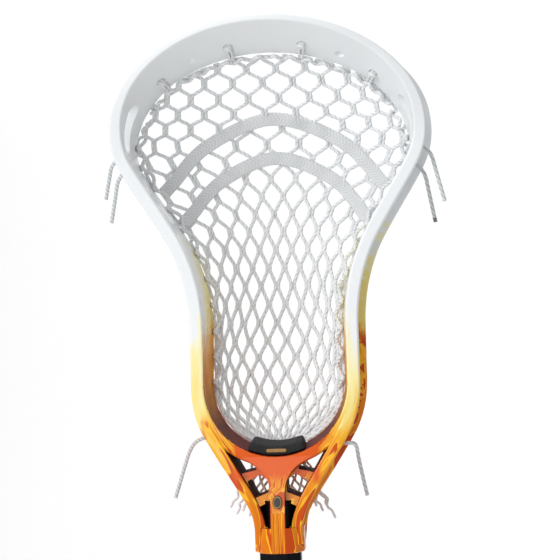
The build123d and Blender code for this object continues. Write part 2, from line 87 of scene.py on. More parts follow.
def finish(name, settings):
    """A new material: its node tree, its shader and the texture coordinates it reads."""
    material = bpy.data.materials.new(name)
    material.use_nodes = True
    tree = material.node_tree
    shader = next(n for n in tree.nodes if n.type == "BSDF_PRINCIPLED")
    for key, value in settings.items():
        shader.inputs[key].default_value = value
    return material, tree, shader, tree.nodes.new("ShaderNodeTexCoord")


def ramp(tree, source, stops):
    """A colour ramp fed by source, with stops of (place, colour code)."""
    node = add(tree, "ValToRGB", None, Fac=source)
    while len(node.color_ramp.elements) < len(stops):
        node.color_ramp.elements.new(0.5)
    for element, (place, code) in zip(node.color_ramp.elements, stops):
        element.position = place
        element.color = linear(code)
    return node.outputs["Color"]


def maths(tree, operation, first, second=None, third=None, clamp=False):
    """One sum on the values of nodes or on plain numbers."""
    node = add(tree, "Math", {"operation": operation, "use_clamp": clamp})
    for i, value in enumerate((first, second, third)):
        if value is None:
            continue
        if isinstance(value, (int, float)):
            node.inputs[i].default_value = value
        else:
            tree.links.new(node.inputs[i], value)
    return node.outputs[0]


def mix(tree, factor, first, second):
    """Mixes two colours, each a colour code or an output."""
    node = add(tree, "Mix", {"data_type": "RGBA"})
    for i, value in ((0, factor), (6, first), (7, second)):
        if isinstance(value, str):
            node.inputs[i].default_value = linear(value)
        elif isinstance(value, (int, float)):
            node.inputs[i].default_value = value
        else:
            tree.links.new(node.inputs[i], value)
    return node.outputs[2]


print("linear mid grey:", round(linear("#808080")[0], 3))

# %% [markdown]
# ## Camera, light and room
# The camera looks level at the middle of the head from about a metre, a few degrees to
# the right of square, with a slight roll, through a long lens. The room is one pale sweep:
# a floor that curves up into a wall. Much of the light is the room's own, as in a bright
# white studio, so that the thin cords stay pale. A large soft light on the upper left
# gives the rails their shape, one in front opens the shade, one above lights the scoop,
# and the last is turned to the wall and keeps it white. Small lamps would draw hard
# shadows of every cord, so the lights are large squares.

# %% Camera

DISTANCE = 1.05
YAW = np.radians(4.5)
ROLL = np.radians(1.9)
right = Vector((np.cos(YAW), np.sin(YAW), 0))
back = Vector((np.sin(YAW), -np.cos(YAW), 0))
up = Vector((0, 0, 1))
aim = Vector((0, 0, HEAD * MM)) + right * 4.8 * MM
lens = bpy.data.cameras.new("camera")
lens.lens = 112.5
lens.sensor_width = 36
lens.clip_end = 50
camera = bpy.data.objects.new("camera", lens)
bpy.context.collection.objects.link(camera)
across = right * np.cos(ROLL) - up * np.sin(ROLL)
upward = right * np.sin(ROLL) + up * np.cos(ROLL)
turn = Matrix((across, upward, back)).transposed()
camera.matrix_world = Matrix.Translation(aim + back * DISTANCE) @ turn.to_4x4()
bpy.context.scene.camera = camera
print("camera at", [round(v, 3) for v in camera.location])

# %% Lights


def softbox(name, place, target, size, power):
    """A square area light at place that faces target."""
    light = bpy.data.lights.new(name, "AREA")
    light.size = size
    light.energy = power
    lamp = bpy.data.objects.new(name, light)
    lamp.location = place
    lamp.rotation_euler = (Vector(target) - Vector(place)).to_track_quat("-Z", "Y").to_euler()
    bpy.context.collection.objects.link(lamp)


middle = (0, 0, HEAD * MM)
softbox("key_light", (-1.5, -1.5, 1.6), middle, 1.0, 21)
softbox("front_light", (-0.5, -2.4, 1.3), middle, 1.2, 10)
softbox("top_light", (-0.2, -0.5, 2.4), middle, 0.9, 8)
softbox("wall_light", (0.0, 1.3, 2.9), (0, 2.8, 0.9), 2.4, 40)
world = bpy.data.worlds.new("studio")
bpy.context.scene.world = world
world.use_nodes = True
world.node_tree.nodes["Background"].inputs[0].default_value = (1, 1, 1, 1)
world.node_tree.nodes["Background"].inputs[1].default_value = 0.38
bpy.context.scene.view_settings.view_transform = "Standard"
print("lights:", len(bpy.data.lights))

# %% [markdown]
# ## Surfaces from arrays
# Every new piece is a grid of points worked out as whole arrays. A tube is a ring carried
# along a line, a band is a flattened ring, and a bead is a ball. One function puts such a
# grid into a mesh, closes its ends and gives it a UV map: how far round, from 0 to 1, and
# how far along, in millimetres. The patterns of cord and lace follow that map. A curve
# with a round bevel could make one cord, but arrays make a whole net of them at once.

# %% Grid to mesh


def new_piece(name, rings, along, slot, material, body="root"):
    """Rings is an array (tubes, rings, points, 3) in mm, and along (tubes, rings) is the length
    at each ring. Quads join neighbouring rings and wrap round; rings that shrink to a point
    are merged.
    """
    tubes, count, sides, _ = rings.shape
    base = np.arange(tubes)[:, None, None] * count * sides
    i = np.arange(count - 1)[None, :, None]
    j = np.arange(sides)[None, None, :]
    k = (j + 1) % sides
    here, above = base + i * sides, base + (i + 1) * sides
    quads = np.stack([here + j, here + k, above + k, above + j], -1)
    faces = quads.reshape(-1, 4)
    low = np.broadcast_to(along[:, :-1, None], quads.shape[:3])
    high = np.broadcast_to(along[:, 1:, None], quads.shape[:3])
    near = np.broadcast_to(j / sides, quads.shape[:3])
    far = near + 1 / sides
    corners = ((near, low), (far, low), (far, high), (near, high))
    uv = np.stack([np.stack(corner, -1) for corner in corners], -2)
    mesh = bpy.data.meshes.new(name)
    mesh.vertices.add(tubes * count * sides)
    mesh.vertices.foreach_set("co", (rings * MM).astype(np.float32).ravel())
    mesh.loops.add(faces.size)
    mesh.loops.foreach_set("vertex_index", faces.astype(np.int32).ravel())
    mesh.polygons.add(len(faces))
    mesh.polygons.foreach_set("loop_start", np.arange(0, faces.size, 4, dtype=np.int32))
    mesh.update(calc_edges=True)
    layer = mesh.uv_layers.new(name="UVMap")
    layer.data.foreach_set("uv", uv.astype(np.float32).ravel())
    tidy = bmesh.new()
    tidy.from_mesh(mesh)
    bmesh.ops.remove_doubles(tidy, verts=tidy.verts, dist=2e-6)
    bmesh.ops.recalc_face_normals(tidy, faces=tidy.faces)
    tidy.to_mesh(mesh)
    tidy.free()
    mesh.polygons.foreach_set("use_smooth", np.ones(len(mesh.polygons), bool))
    piece = bpy.data.objects.new(name, mesh)
    bpy.context.collection.objects.link(piece)
    mesh.materials.append(material)
    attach(piece, body)
    print(name, len(mesh.polygons), "faces")
    return piece


def unit(vectors):
    """Vectors of length one."""
    return vectors / np.maximum(np.linalg.norm(vectors, axis=-1, keepdims=True), 1e-9)


def carried(lines, half_wide, half_thick, sides, facing, power=1.0, ridge=None):
    """A closed ring carried along each line. Lines are (tubes, points, 3). The ring's point at
    angle a is centre + wide * cos(a) ^ power * side + thick * sin(a) ^ power * face, where
    side is across the line and face is the part of facing square to it. The ends close in
    three steps along a quarter circle.
    """
    tubes = len(lines)
    run = unit(np.gradient(lines, axis=1))
    side = unit(np.cross(run, np.broadcast_to(facing, lines.shape)))
    face = np.cross(side, run)
    angle = 2 * np.pi * np.arange(sides) / sides
    wide = np.sign(np.cos(angle)) * np.abs(np.cos(angle)) ** power * half_wide
    thick = np.sign(np.sin(angle)) * np.abs(np.sin(angle)) ** power * half_thick
    steps = np.linalg.norm(np.diff(lines, axis=1), axis=-1)
    along = np.concatenate([np.zeros((tubes, 1)), np.cumsum(steps, axis=1)], axis=1)
    lift = 1.0 if ridge is None else ridge(along[:, :, None], angle[None, None, :])
    raised = (thick[None, None, :] * lift)[..., None]
    offset = side[:, :, None] * wide[None, None, :, None] + face[:, :, None] * raised
    step = np.radians([90.0, 60.0, 30.0])
    shrink, push = (f(step)[None, :, None, None] for f in (np.cos, np.sin))
    start = lines[:, :1, None] + offset[:, :1] * shrink - run[:, :1, None] * (push * half_thick)
    shrink, push = shrink[:, ::-1], push[:, ::-1]
    end = lines[:, -1:, None] + offset[:, -1:] * shrink + run[:, -1:, None] * (push * half_thick)
    rings = np.concatenate([start, lines[:, :, None] + offset, end], axis=1)
    first = np.repeat(along[:, :1], 3, axis=1) - half_thick * np.sin(step)
    last = np.repeat(along[:, -1:], 3, axis=1) + half_thick * np.sin(step[::-1])
    return rings, np.concatenate([first, along, last], axis=1)


def through(points, count):
    """A smooth line through a few points, evenly stepped: cubic pieces whose slope at a point
    is the run between its neighbours.
    """
    points = np.asarray(points, float)
    slopes = np.gradient(points, axis=0)
    place = np.linspace(0, len(points) - 1, 16 * len(points))
    low = np.minimum(place.astype(int), len(points) - 2)
    t = (place - low)[:, None]
    line = (
        (2 * t**3 - 3 * t**2 + 1) * points[low]
        + (t**3 - 2 * t**2 + t) * slopes[low]
        + (3 * t**2 - 2 * t**3) * points[low + 1]
        + (t**3 - t**2) * slopes[low + 1]
    )
    length = np.concatenate([[0], np.cumsum(np.linalg.norm(np.diff(line, axis=0), axis=1))])
    wanted = np.linspace(0, length[-1], count)
    return np.stack([np.interp(wanted, length, line[:, c]) for c in range(3)], axis=1)


print("grid tools ready")

# %% [markdown]
# ## Twisted nylon cord
# The strings and the net are spun from white nylon and polyester yarn. Two plies wind
# round each other every few millimetres, which gives the cord slanting ridges and a soft
# white. The plies could be modelled one by one, but on cords this thin a pattern looks
# the same and keeps the meshes light. It is a sine wave across the UV map: twice round,
# and once for each pitch along. Fine noise stands for the yarn's loose fibres.

# %% Cord finish
YARN = {"IOR": 1.53, "Sheen Weight": 0.25, "Sheen Roughness": 0.4}


def twisted_cord(name, code, shade, pitch, depth, roughness):
    """Spun nylon cord: a two-ply sine wave over the UV map, pitch in mm, for both the bump and
    the shaded grooves.
    """
    material, tree, shader, coordinates = finish(name, {"Roughness": roughness, **YARN})
    uv = add(tree, "SeparateXYZ", None, Vector=coordinates.outputs["UV"])
    turns = maths(tree, "MULTIPLY_ADD", uv.outputs["X"], 2.0, maths(tree, "DIVIDE", uv.outputs["Y"], pitch))
    wave = maths(tree, "SINE", maths(tree, "MULTIPLY", turns, 2 * np.pi))
    fibres = add(tree, "TexNoise", {"Scale": 2600.0, "Detail": 3.0}, Vector=coordinates.outputs["Object"])
    height = maths(tree, "MULTIPLY_ADD", fibres.outputs[0], 0.35, maths(tree, "MULTIPLY", wave, 0.5))
    groove = maths(tree, "MULTIPLY_ADD", wave, 0.5, 0.5, clamp=True)
    patches = add(tree, "TexNoise", {"Scale": 90.0, "Detail": 2.0}, Vector=coordinates.outputs["Object"])
    half_groove = maths(tree, "MULTIPLY", groove, 0.5)
    tone = mix(tree, maths(tree, "MULTIPLY_ADD", patches.outputs[0], 0.5, half_groove), shade, code)
    bump = add(tree, "Bump", {"Strength": 0.9, "Distance": depth * MM}, Height=height)
    tree.links.new(shader.inputs["Base Color"], tone)
    tree.links.new(shader.inputs["Normal"], bump.outputs[0])
    return material


net_yarn = twisted_cord("knitted_polyester_mesh", "#FBFCFD", "#D6DADD", 3.6, 0.4, 0.6)
white_nylon = twisted_cord("twisted_nylon_string", "#FCFDFD", "#D8DCDE", 3.0, 0.5, 0.5)
print("cord finishes:", net_yarn.name, white_nylon.name)

# %% Finish of the loose ends


def loose_nylon(name, tip):
    """The same string on a curve, whose ridges slant across its height with a pitch of 3 mm;
    tip is the height in mm below which the melted end is brown, or None.
    """
    material, tree, shader, coordinates = finish(name, {"Roughness": 0.5, **YARN})
    place = add(tree, "SeparateXYZ", None, Vector=coordinates.outputs["Object"])
    slant = maths(tree, "MULTIPLY_ADD", place.outputs["X"], 0.9, place.outputs["Z"])
    wave = maths(tree, "SINE", maths(tree, "MULTIPLY", slant, 2 * np.pi / (3.0 * MM)))
    fibres = add(tree, "TexNoise", {"Scale": 1500.0, "Detail": 3.0}, Vector=coordinates.outputs["Object"])
    height = maths(tree, "MULTIPLY_ADD", fibres.outputs[0], 0.5, maths(tree, "MULTIPLY", wave, 0.5))
    # Painted shade: the whole cord is a greyer white than the string it is cut from, and the grooves between
    # its slanting ridges are darker still.
    tone = mix(tree, maths(tree, "MULTIPLY_ADD", wave, 0.5, 0.5, clamp=True), "#B8BCBF", "#DCDFE1")
    if tip is not None:
        burnt = maths(tree, "LESS_THAN", place.outputs["Z"], (COLLAR + tip) * MM)
        tone = mix(tree, burnt, tone, "#7A746E")
    bump = add(tree, "Bump", {"Strength": 0.8, "Distance": 0.4 * MM}, Height=height)
    tree.links.new(shader.inputs["Base Color"], tone)
    tree.links.new(shader.inputs["Normal"], bump.outputs[0])
    return material


loose_string = loose_nylon("twisted_nylon_tail", None)
burnt_string = loose_nylon("twisted_nylon_burnt_tail", 197.0)
print("tail finishes:", loose_string.name, burnt_string.name)

# %% [markdown]
# ## Loose string ends
# Six cut ends of the lacing leave the head's wall and hang outside it. Each is a smooth
# curve whose control points are the route of its CAD tube. The ends are short, so they
# stay as bent as the knot left them, and the tip of one is brown where it was melted. A
# grid would do as well, but a curve with a round bevel keeps its route easy to edit.

# %% Loose ends
TAIL = 2.4
TAILS = {
    "string_tail_upper_left_a": (
        (-90.5, 18.5, 240.5),
        (-98.2, 21.0, 238.0),
        (-101.5, 28.0, 228.0),
        (-105.0, 34.0, 216.0),
    ),
    "string_tail_upper_left_b": (
        (-87.4, 18.5, 232.5),
        (-94.6, 21.0, 229.5),
        (-97.8, 27.0, 216.5),
        (-101.5, 31.0, 201.0),
    ),
    "string_tail_upper_right_a": (
        (90.3, 13.0, 241.0),
        (97.0, 11.0, 238.5),
        (100.5, 7.0, 223.0),
        (104.8, 4.0, 206.0),
    ),
    "string_tail_upper_right_b": (
        (86.4, 18.5, 230.5),
        (93.2, 21.0, 227.0),
        (95.8, 26.0, 212.0),
        (99.2, 30.0, 194.5),
    ),
    "string_tail_lower_left": (
        (-43.5, 24.6, 66.8),
        (-50.0, 25.0, 66.2),
        (-56.0, 25.6, 60.5),
        (-61.0, 26.3, 46.0),
        (-66.5, 27.0, 29.5),
    ),
    "string_tail_lower_right": (
        (41.5, -4.0, 63.5),
        (44.5, 6.0, 63.0),
        (46.8, 17.0, 60.5),
        (47.5, 22.5, 52.0),
        (49.5, 25.0, 41.0),
        (52.0, 26.5, 28.5),
    ),
}


def loose_end(name, points, material):
    """A round cord along one NURBS line, with the route's points as control points."""
    curve = bpy.data.curves.new(name + "_cord", "CURVE")
    curve.dimensions = "3D"
    line = curve.splines.new("NURBS")
    line.points.add(len(points) - 1)
    for point, (x, y, rise) in zip(line.points, points):
        point.co = (x * MM, y * MM, (COLLAR + rise) * MM, 1)
    line.order_u = 3
    line.use_endpoint_u = True
    line.resolution_u = 12
    curve.bevel_depth = TAIL / 2 * MM
    curve.bevel_resolution = 4
    curve.use_fill_caps = True
    curve.materials.append(material)
    cord = bpy.data.objects.new(name + "_cord", curve)
    bpy.context.collection.objects.link(cord)
    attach(cord, "root")
    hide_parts(name)
    x, y, rise = points[0]


for name, points in TAILS.items():
    material = burnt_string if name.endswith("right_b") else loose_string
    loose_end(name, points, material)
print("loose ends:", len(TAILS))

# %% [markdown]
# ## Where the wall is
# The net and the strings follow the head's inner back edge, so its shape is worked out
# here in the same way as the CAD model does it. Seen from the front, the outline is a few
# straight runs with rounded corners and half an ellipse at the top. A table gives the
# wall's back edge and its thickness at a few heights, and cubic curves fill in between.
# The edge could be read from the mesh, but a formula gives a point at any height.

# %% Outline and wall
WIDEST_RISE = 252.0
BOWL_CENTRE = 100.15
BOWL_RADIUS = 43.15
CROWN = 67.0
HALF_WIDEST = 95.0
HEAD_LENGTH = 319.0
# Height, front, back, front rail's width and inward reach of the back edge, mm
WALL = np.array(
    [
        (0.0, -11.5, 12.0, 6.4, 6.4),
        (45.6, -11.5, 17.0, 6.6, 7.6),
        (BOWL_CENTRE, -3.5, 31.0, 7.6, 10.1),
        (147.0, 0.0, 38.0, 7.6, 10.2),
        (202.75, -1.0, 38.0, 7.6, 7.9),
        (228.5, -3.0, 36.0, 7.6, 7.8),
        (WIDEST_RISE, -5.5, 33.0, 7.2, 11.9),
        (WIDEST_RISE + 0.43 * CROWN, -11.5, 27.0, 5.6, 16.4),
        (WIDEST_RISE + 0.72 * CROWN, -16.0, 22.0, 4.6, 17.8),
        (WIDEST_RISE + 0.91 * CROWN, -20.0, 17.0, 4.0, 19.2),
        (HEAD_LENGTH, -22.0, 14.0, 3.8, 19.4),
    ]
)


def table(rows, column, rise):
    """A column of a table at any heights, on cubic curves whose slope at a row is that between
    the rows beside it.
    """
    rise = np.clip(rise, rows[0, 0], rows[-1, 0])
    low = np.clip(np.searchsorted(rows[:, 0], rise, side="right") - 1, 0, len(rows) - 2)
    row = np.arange(len(rows))
    before, after = np.maximum(row - 1, 0), np.minimum(row + 1, len(rows) - 1)
    slopes = (rows[after, column] - rows[before, column]) / (rows[after, 0] - rows[before, 0])
    span = rows[low + 1, 0] - rows[low, 0]
    t = (rise - rows[low, 0]) / span
    return (
        (2 * t**3 - 3 * t**2 + 1) * rows[low, column]
        + (t**3 - 2 * t**2 + t) * span * slopes[low]
        + (3 * t**2 - 2 * t**3) * rows[low + 1, column]
        + (t**3 - t**2) * span * slopes[low + 1]
    )


def half_outline():
    """The outline's right side, bottom to top, as (across, height). A rounded corner is a
    parabola that touches both of its runs at the arc's reach, and the crown is a quarter of
    an ellipse.
    """
    throat, bowl = 14.45, 50.75
    low = [(throat, 5.0), (throat, 22.6), (bowl, 81.0), (bowl, 167.0)]
    corners = np.array(low + [(HALF_WIDEST, 238.5), (HALF_WIDEST, WIDEST_RISE)])
    radii = (35.0, 60.0, 112.0, 47.0)
    parts = [corners[:1]]
    t = np.linspace(0, 1, 24)[:, None]
    for before, corner, after, radius in zip(corners, corners[1:], corners[2:], radii):
        arrive, leave = unit(corner - before), unit(after - corner)
        reach = radius * np.tan(np.arccos(arrive @ leave) / 2)
        first, last = corner - arrive * reach, corner + leave * reach
        parts.append((1 - t) ** 2 * first + 2 * t * (1 - t) * corner + t**2 * last)
    a = np.linspace(0, np.pi / 2, 90)[:, None]
    parts.append(np.hstack([HALF_WIDEST * np.cos(a), WIDEST_RISE + CROWN * np.sin(a)]))
    line = np.vstack(parts)
    length = np.concatenate([[0], np.cumsum(np.linalg.norm(np.diff(line, axis=0), axis=1))])
    return line, length / length[-1], length[-1]


OUTLINE, SHARES, OUTLINE_LENGTH = half_outline()


def wall_point(share, inward, depth, side=1.0):
    """Points beside the outline at shares of its length: a distance inward from it, and a place
    along Y.
    """
    x = np.interp(share, SHARES, OUTLINE[:, 0])
    z = np.interp(share, SHARES, OUTLINE[:, 1])
    slope = np.gradient(OUTLINE, axis=0)
    run = unit(np.stack([np.interp(share, SHARES, slope[:, c]) for c in range(2)], axis=-1))
    across, up = x - run[..., 1] * inward, z + run[..., 0] * inward
    return np.stack([side * across, depth + 0 * x, COLLAR + up], axis=-1)


def wall_at(share):
    """Height, back edge and inward reach at shares of the outline."""
    rise = np.interp(share, SHARES, OUTLINE[:, 1])
    return rise, table(WALL, 2, rise), table(WALL, 4, rise)


print("outline is", round(OUTLINE_LENGTH, 1), "mm a side")

# %% [markdown]
# ## The pocket
# The net hangs behind the head as a deep trough. Each level section is an arc of a circle
# between the two walls. Its edge runs just inside the wall's inner back edge and a little
# behind it, so the net hangs clear of the wall. A table worked out from the wall gives
# the half width and the edge for each height, and a second table gives the sag. A cloth
# simulation could find such a shape too, but a formula gives the same one every time.

# %% Pocket surface
NET_GAP = 0.6  # between the wall and the net's edge, mm
NET_BEHIND = 2.4  # how far back the whole net is moved, so that it clears the wall, mm
NET_SAG = 28.0
# Share of the net's height, share of the full sag
SAG = np.array(
    [
        (0.0, 0.10),
        (0.12, 0.55),
        (0.28, 0.92),
        (0.45, 1.0),
        (0.62, 1.0),
        (0.80, 0.80),
        (0.93, 0.36),
        (1.0, 0.06),
    ]
)


def pocket_rows():
    """Height, half width and edge of each row of the pocket, bottom to top."""
    angle = np.radians([26.0, 34.0, 42.0, 50.0, 58.0, 66.0, 75.0, 84.0])
    reach = BOWL_RADIUS - 2.5 - NET_GAP
    blend = (np.maximum(0, BOWL_CENTRE - BOWL_RADIUS * np.cos(angle) - 57.0) / BOWL_RADIUS) ** 1.5
    rise, half, edge = BOWL_CENTRE - reach * np.cos(angle), reach * np.sin(angle), 20.0 + 11.0 * blend
    low = np.stack([rise, half, edge - 1.0], axis=1)
    share = np.array([0.30, 0.40, 0.50, 0.58, 0.66, 0.74, 0.82, 0.88, 0.93, 0.97])
    _, edge, inward = wall_at(share)
    place = wall_point(share, inward + NET_GAP, 0.0)
    return np.vstack([low, np.stack([place[:, 2] - COLLAR, place[:, 0], edge - 1.0], axis=1)])


ROWS = pocket_rows()
NET_LOW, NET_HIGH = ROWS[0, 0], ROWS[-1, 0]


def sag_at(rise):
    """How far the middle hangs behind the edges, eased between the rows of the table."""
    share = np.clip((rise - NET_LOW) / (NET_HIGH - NET_LOW), 0, 1)
    low = np.clip(np.searchsorted(SAG[:, 0], share, side="right") - 1, 0, len(SAG) - 2)
    t = (share - SAG[low, 0]) / (SAG[low + 1, 0] - SAG[low, 0])
    return NET_SAG * (SAG[low, 1] + (SAG[low + 1, 1] - SAG[low, 1]) * t * t * (3 - 2 * t))


def pocket(u, rise, lift=0.0):
    """A point of the pocket: u from -1 at the left wall to 1 at the right. The section is an
    arc through both edges and the sagging middle, so its half angle is twice the arc tangent
    of sag over half width. Lift moves the point behind the net's middle plane.
    """
    half, edge, sag = table(ROWS, 1, rise), table(ROWS, 2, rise), sag_at(rise)
    reach = 2 * np.arctan2(sag, half)
    radius = half / np.sin(reach)
    angle = u * reach
    x = (radius + lift) * np.sin(angle)
    y = edge + sag - radius + (radius + lift) * np.cos(angle) + NET_BEHIND
    return np.stack([x, y, COLLAR + rise + 0 * u], axis=-1)


def pocket_across(x, rise, lift=0.0):
    """The same surface at a place x across it, in mm."""
    half, sag = table(ROWS, 1, rise), sag_at(rise)
    reach = 2 * np.arctan2(sag, half)
    radius = half / np.sin(reach)
    return pocket(np.arcsin(np.clip(x / radius, -1, 1)) / reach, rise, lift)


print("pocket from", round(NET_LOW), "to", round(NET_HIGH), "mm above the collar")

# %% [markdown]
# ## The knitted net
# The net is made of cords that run from the scoop to the bowl. Each zigzags, and meets the
# cord on its left and the cord on its right in turn, which leaves diamond cells. Near the
# scoop the meetings are long, so the cells have upright sides. In the channel the cells are
# tall and narrow, lower down they open out, and at the bowl they are squeezed flat. One
# cell could be repeated by an array, but then the cells would all be alike. Here the phase
# of the zigzag is the length of the cord divided by the height of a cell, added up.

# %% Net
COLUMNS = 20
CORD = 2.3
# Height, cell height, steepness of the wave in the middle and its rise to the sides,
# and widening of the middle cells
CELLS = np.array(
    [
        (60.0, 9.0, 1.3, 0.2, 0.24),
        (74.0, 13.0, 1.35, 0.2, 0.28),
        (86.0, 19.0, 1.4, 0.2, 0.30),
        (102.0, 22.0, 1.5, 0.2, 0.30),
        (125.0, 23.0, 1.45, 0.3, 0.22),
        (150.0, 23.5, 1.4, 0.5, 0.0),
        (180.0, 23.0, 1.4, 1.2, -0.15),
        (205.0, 22.5, 1.4, 2.4, -0.18),
        (225.0, 22.5, 1.6, 2.6, -0.06),
        (245.0, 22.5, 2.1, 2.6, 0.14),
        (265.0, 22.5, 2.2, 2.6, 0.2),
        (300.0, 22.5, 2.3, 2.4, 0.2),
    ]
)


def net_lines():
    """One line for each cord. Across the net, a cord keeps to its own place plus half a cell
    times a triangle wave, cut off flat at the meetings. Neighbours have opposite waves.
    Above the widest place the cords keep their spacing, so each ends where it comes to the
    scoop.
    """
    count = 420
    fine = np.linspace(NET_LOW, NET_HIGH, 600)
    spine = pocket(np.zeros(600), fine)
    steps = np.linalg.norm(np.diff(spine, axis=0), axis=1)
    cell = table(CELLS, 1, fine)
    turns = np.concatenate([[0], np.cumsum(steps / (0.5 * (cell[1:] + cell[:-1])))])
    spread = table(ROWS, 1, fine)
    widest = np.argmax(spread)
    kept = spread[widest] * (1 - 0.10 * np.clip((fine - fine[widest]) / 45, 0, 1))
    ratio = np.where(np.arange(600) > widest, np.maximum(kept / spread, 1), 1)
    cord = np.arange(COLUMNS + 1)[:, None]
    place = -1 + 2 * cord / COLUMNS
    sign = np.where(cord % 2 == 0, 1.0, -1.0)
    highest = np.interp(1 / np.maximum(np.abs(place), 0.05), ratio[widest:], fine[widest:])
    rise = NET_LOW + (highest - NET_LOW) * np.linspace(0, 1, count)[None]
    phase = np.interp(rise, fine, turns)
    wave = 4 * np.abs((phase % 1) - 0.5) - 1
    steep = table(CELLS, 2, rise) + table(CELLS, 3, rise) * place**2
    sharp = np.clip(wave * steep, -1, 1)
    half, sag = table(ROWS, 1, rise), sag_at(rise)
    reach = 2 * np.arctan2(sag, half)
    width = 2 * half * reach / np.sin(reach)
    scale = np.interp(rise, fine, ratio)
    meeting = 1.0 - 0.80 * CORD / (width * scale / COLUMNS)
    widen = table(CELLS, 4, rise)
    u = place + sign * sharp * meeting / COLUMNS
    u = (u + widen * u * (1 - u**2)) * scale
    slack = 0.35 * np.sin(rise / 4.3 + 1.7 * cord)
    lift = 0.5 * sign * sharp * np.sin(np.pi * phase) + slack
    return pocket(np.clip(u, -1.01, 1.01), rise, lift)


lines = net_lines()
rings, along = carried(lines, CORD / 2, CORD / 2, 8, (0, -1, 0))
net = new_piece("knitted_net", rings, along, "mesh_knit", net_yarn)
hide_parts("mesh_pocket")

# %% [markdown]
# ## Shooting laces
# Two flat woven laces cross the net as arches. A flat lace is a tube of braid pressed
# flat, so its section is a rounded oblong, and its surface shows a chevron of yarns, drawn
# here 2.3 mm apart so that it shows. A real lace is threaded over and under the cords.
# Here it lies along the front of them and ripples a little at each, which looks much the
# same from the front and needs no threading.

# %% Lace finish
YARN_PITCH = 2.3  # from one chevron to the next, mm
woven_yarn = {"Roughness": 0.7, "IOR": 1.55, "Sheen Weight": 0.3}
lace_weave, tree, shader, coordinates = finish("woven_polyester_lace", woven_yarn)
uv = add(tree, "SeparateXYZ", None, Vector=coordinates.outputs["UV"])
fold = maths(tree, "ABSOLUTE", maths(tree, "SINE", maths(tree, "MULTIPLY", uv.outputs["X"], 4 * np.pi)))
yarn = maths(tree, "MULTIPLY_ADD", fold, 1.1, maths(tree, "DIVIDE", uv.outputs["Y"], YARN_PITCH))
wave = maths(tree, "MULTIPLY_ADD", maths(tree, "SINE", maths(tree, "MULTIPLY", yarn, 2 * np.pi)), 0.5, 0.5)
fibres = add(tree, "TexNoise", {"Scale": 2200.0, "Detail": 2.0}, Vector=coordinates.outputs["Object"])
# Painted shade: between the chevron's yarns the lace is a darker grey.
tone = mix(tree, wave, "#CDCFD1", "#DCDEDF")
height = maths(tree, "MULTIPLY_ADD", fibres.outputs[0], 0.3, wave)
bump = add(tree, "Bump", {"Strength": 0.35, "Distance": 0.4 * MM}, Height=height)
tree.links.new(shader.inputs["Base Color"], tone)
tree.links.new(shader.inputs["Normal"], bump.outputs[0])
print("finish:", lace_weave.name)

# %% Laces
LACE_WIDE, LACE_THICK = 8.4, 2.0
# Height of the crown, reach of the legs to each side and height of their feet
LACES = {"shooting_lace_upper": (263.0, 70.0, 219.0), "shooting_lace_lower": (239.0, 59.0, 199.0)}


def lace_line(crown, leg, foot):
    """The arch in front view, laid on the pocket, with a ripple of 0.4 mm at each cord that it
    crosses.
    """
    shoulder = crown - 0.36 * (crown - foot)
    x = np.array([-1, -0.62, 0, 0.62, 1]) * leg
    z = np.array([foot, shoulder, crown, shoulder, foot])
    arch = through(np.stack([x, 0 * x, z], axis=1), 150)
    ripple = 0.4 * np.sin(2 * np.pi * np.linspace(0, COLUMNS / 2, 150))
    over = -CORD / 2 - 0.9
    return pocket_across(arch[:, 0], arch[:, 2], over + ripple)


def woven(along, angle):
    """Ridges of the chevron: one wave for each pitch along, slanted away from the middle."""
    return 1 + 0.07 * np.sin(2 * np.pi * (along / YARN_PITCH + 1.1 * np.abs(np.cos(angle))))


for name, arch in LACES.items():
    line = lace_line(*arch)
    rings, along = carried(line[None], LACE_WIDE / 2, LACE_THICK / 2, 20, (0, -1, 0.0), 0.6, woven)
    lace = new_piece(name + "_weave", rings, along, "lace_weave", lace_weave)
    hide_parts(name)

# %% [markdown]
# ## Lacing along the rails and the scoop
# The sidewall strings pass in and out of the row of holes in each back rail and catch the
# net's edge between them. The top string does the same along the scoop. Each is one wavy
# cord, nearest the wall at a hole and nearest the net between two holes. The hitches
# could be tied as real knots, but at this size a squashed ball reads as one.

# %% Sidewall and top strings
HOLE_START = np.interp(BOWL_CENTRE, OUTLINE[:, 1], SHARES)
HOLE_PITCH = 15.5
HOLES = 11
SIDE_STRING, TOP_STRING = 2.3, 2.5  # diameters, mm


def rail_string(shares, pitch, side, reach=2.6):
    """A cord beside the inner back edge. Its gap to the wall and its place along Y follow one
    cosine wave, a whole turn for each pitch, and reach is how far it swings out to the net.
    """
    _, back_edge, inward = wall_at(shares)
    turn = 2 * np.pi * (shares - HOLE_START) * OUTLINE_LENGTH / pitch
    swing = 0.5 - 0.5 * np.cos(turn)
    gap = inward + 1.7 + reach * swing
    depth = back_edge - 2.6 + 3.4 * swing + 0.7 * np.sin(turn)
    return wall_point(shares, gap, depth, side)


# The shares of the outline that each string runs along
rail = np.linspace(0.245, 0.722, 300)
scoop = np.linspace(0.738, 0.992, 160)
for side, word in ((-1.0, "left"), (1.0, "right")):
    line = rail_string(rail, HOLE_PITCH, side)
    rings, along = carried(line[None], SIDE_STRING / 2, SIDE_STRING / 2, 10, (0, -1, 0))
    string = new_piece("rail_lacing_" + word, rings, along, "nylon_cord", white_nylon)
    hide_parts("sidewall_string_" + word)

half = rail_string(scoop, 12.4, 1.0, 1.1)
mirrored = half[::-1] * np.array([-1.0, 1.0, 1.0])
top = np.vstack([half, mirrored])
rings, along = carried(top[None], TOP_STRING / 2, TOP_STRING / 2, 10, (0, -1, 0))
string = new_piece("scoop_lacing", rings, along, "nylon_cord", white_nylon)
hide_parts("top_string")

# %% Hitches at the holes


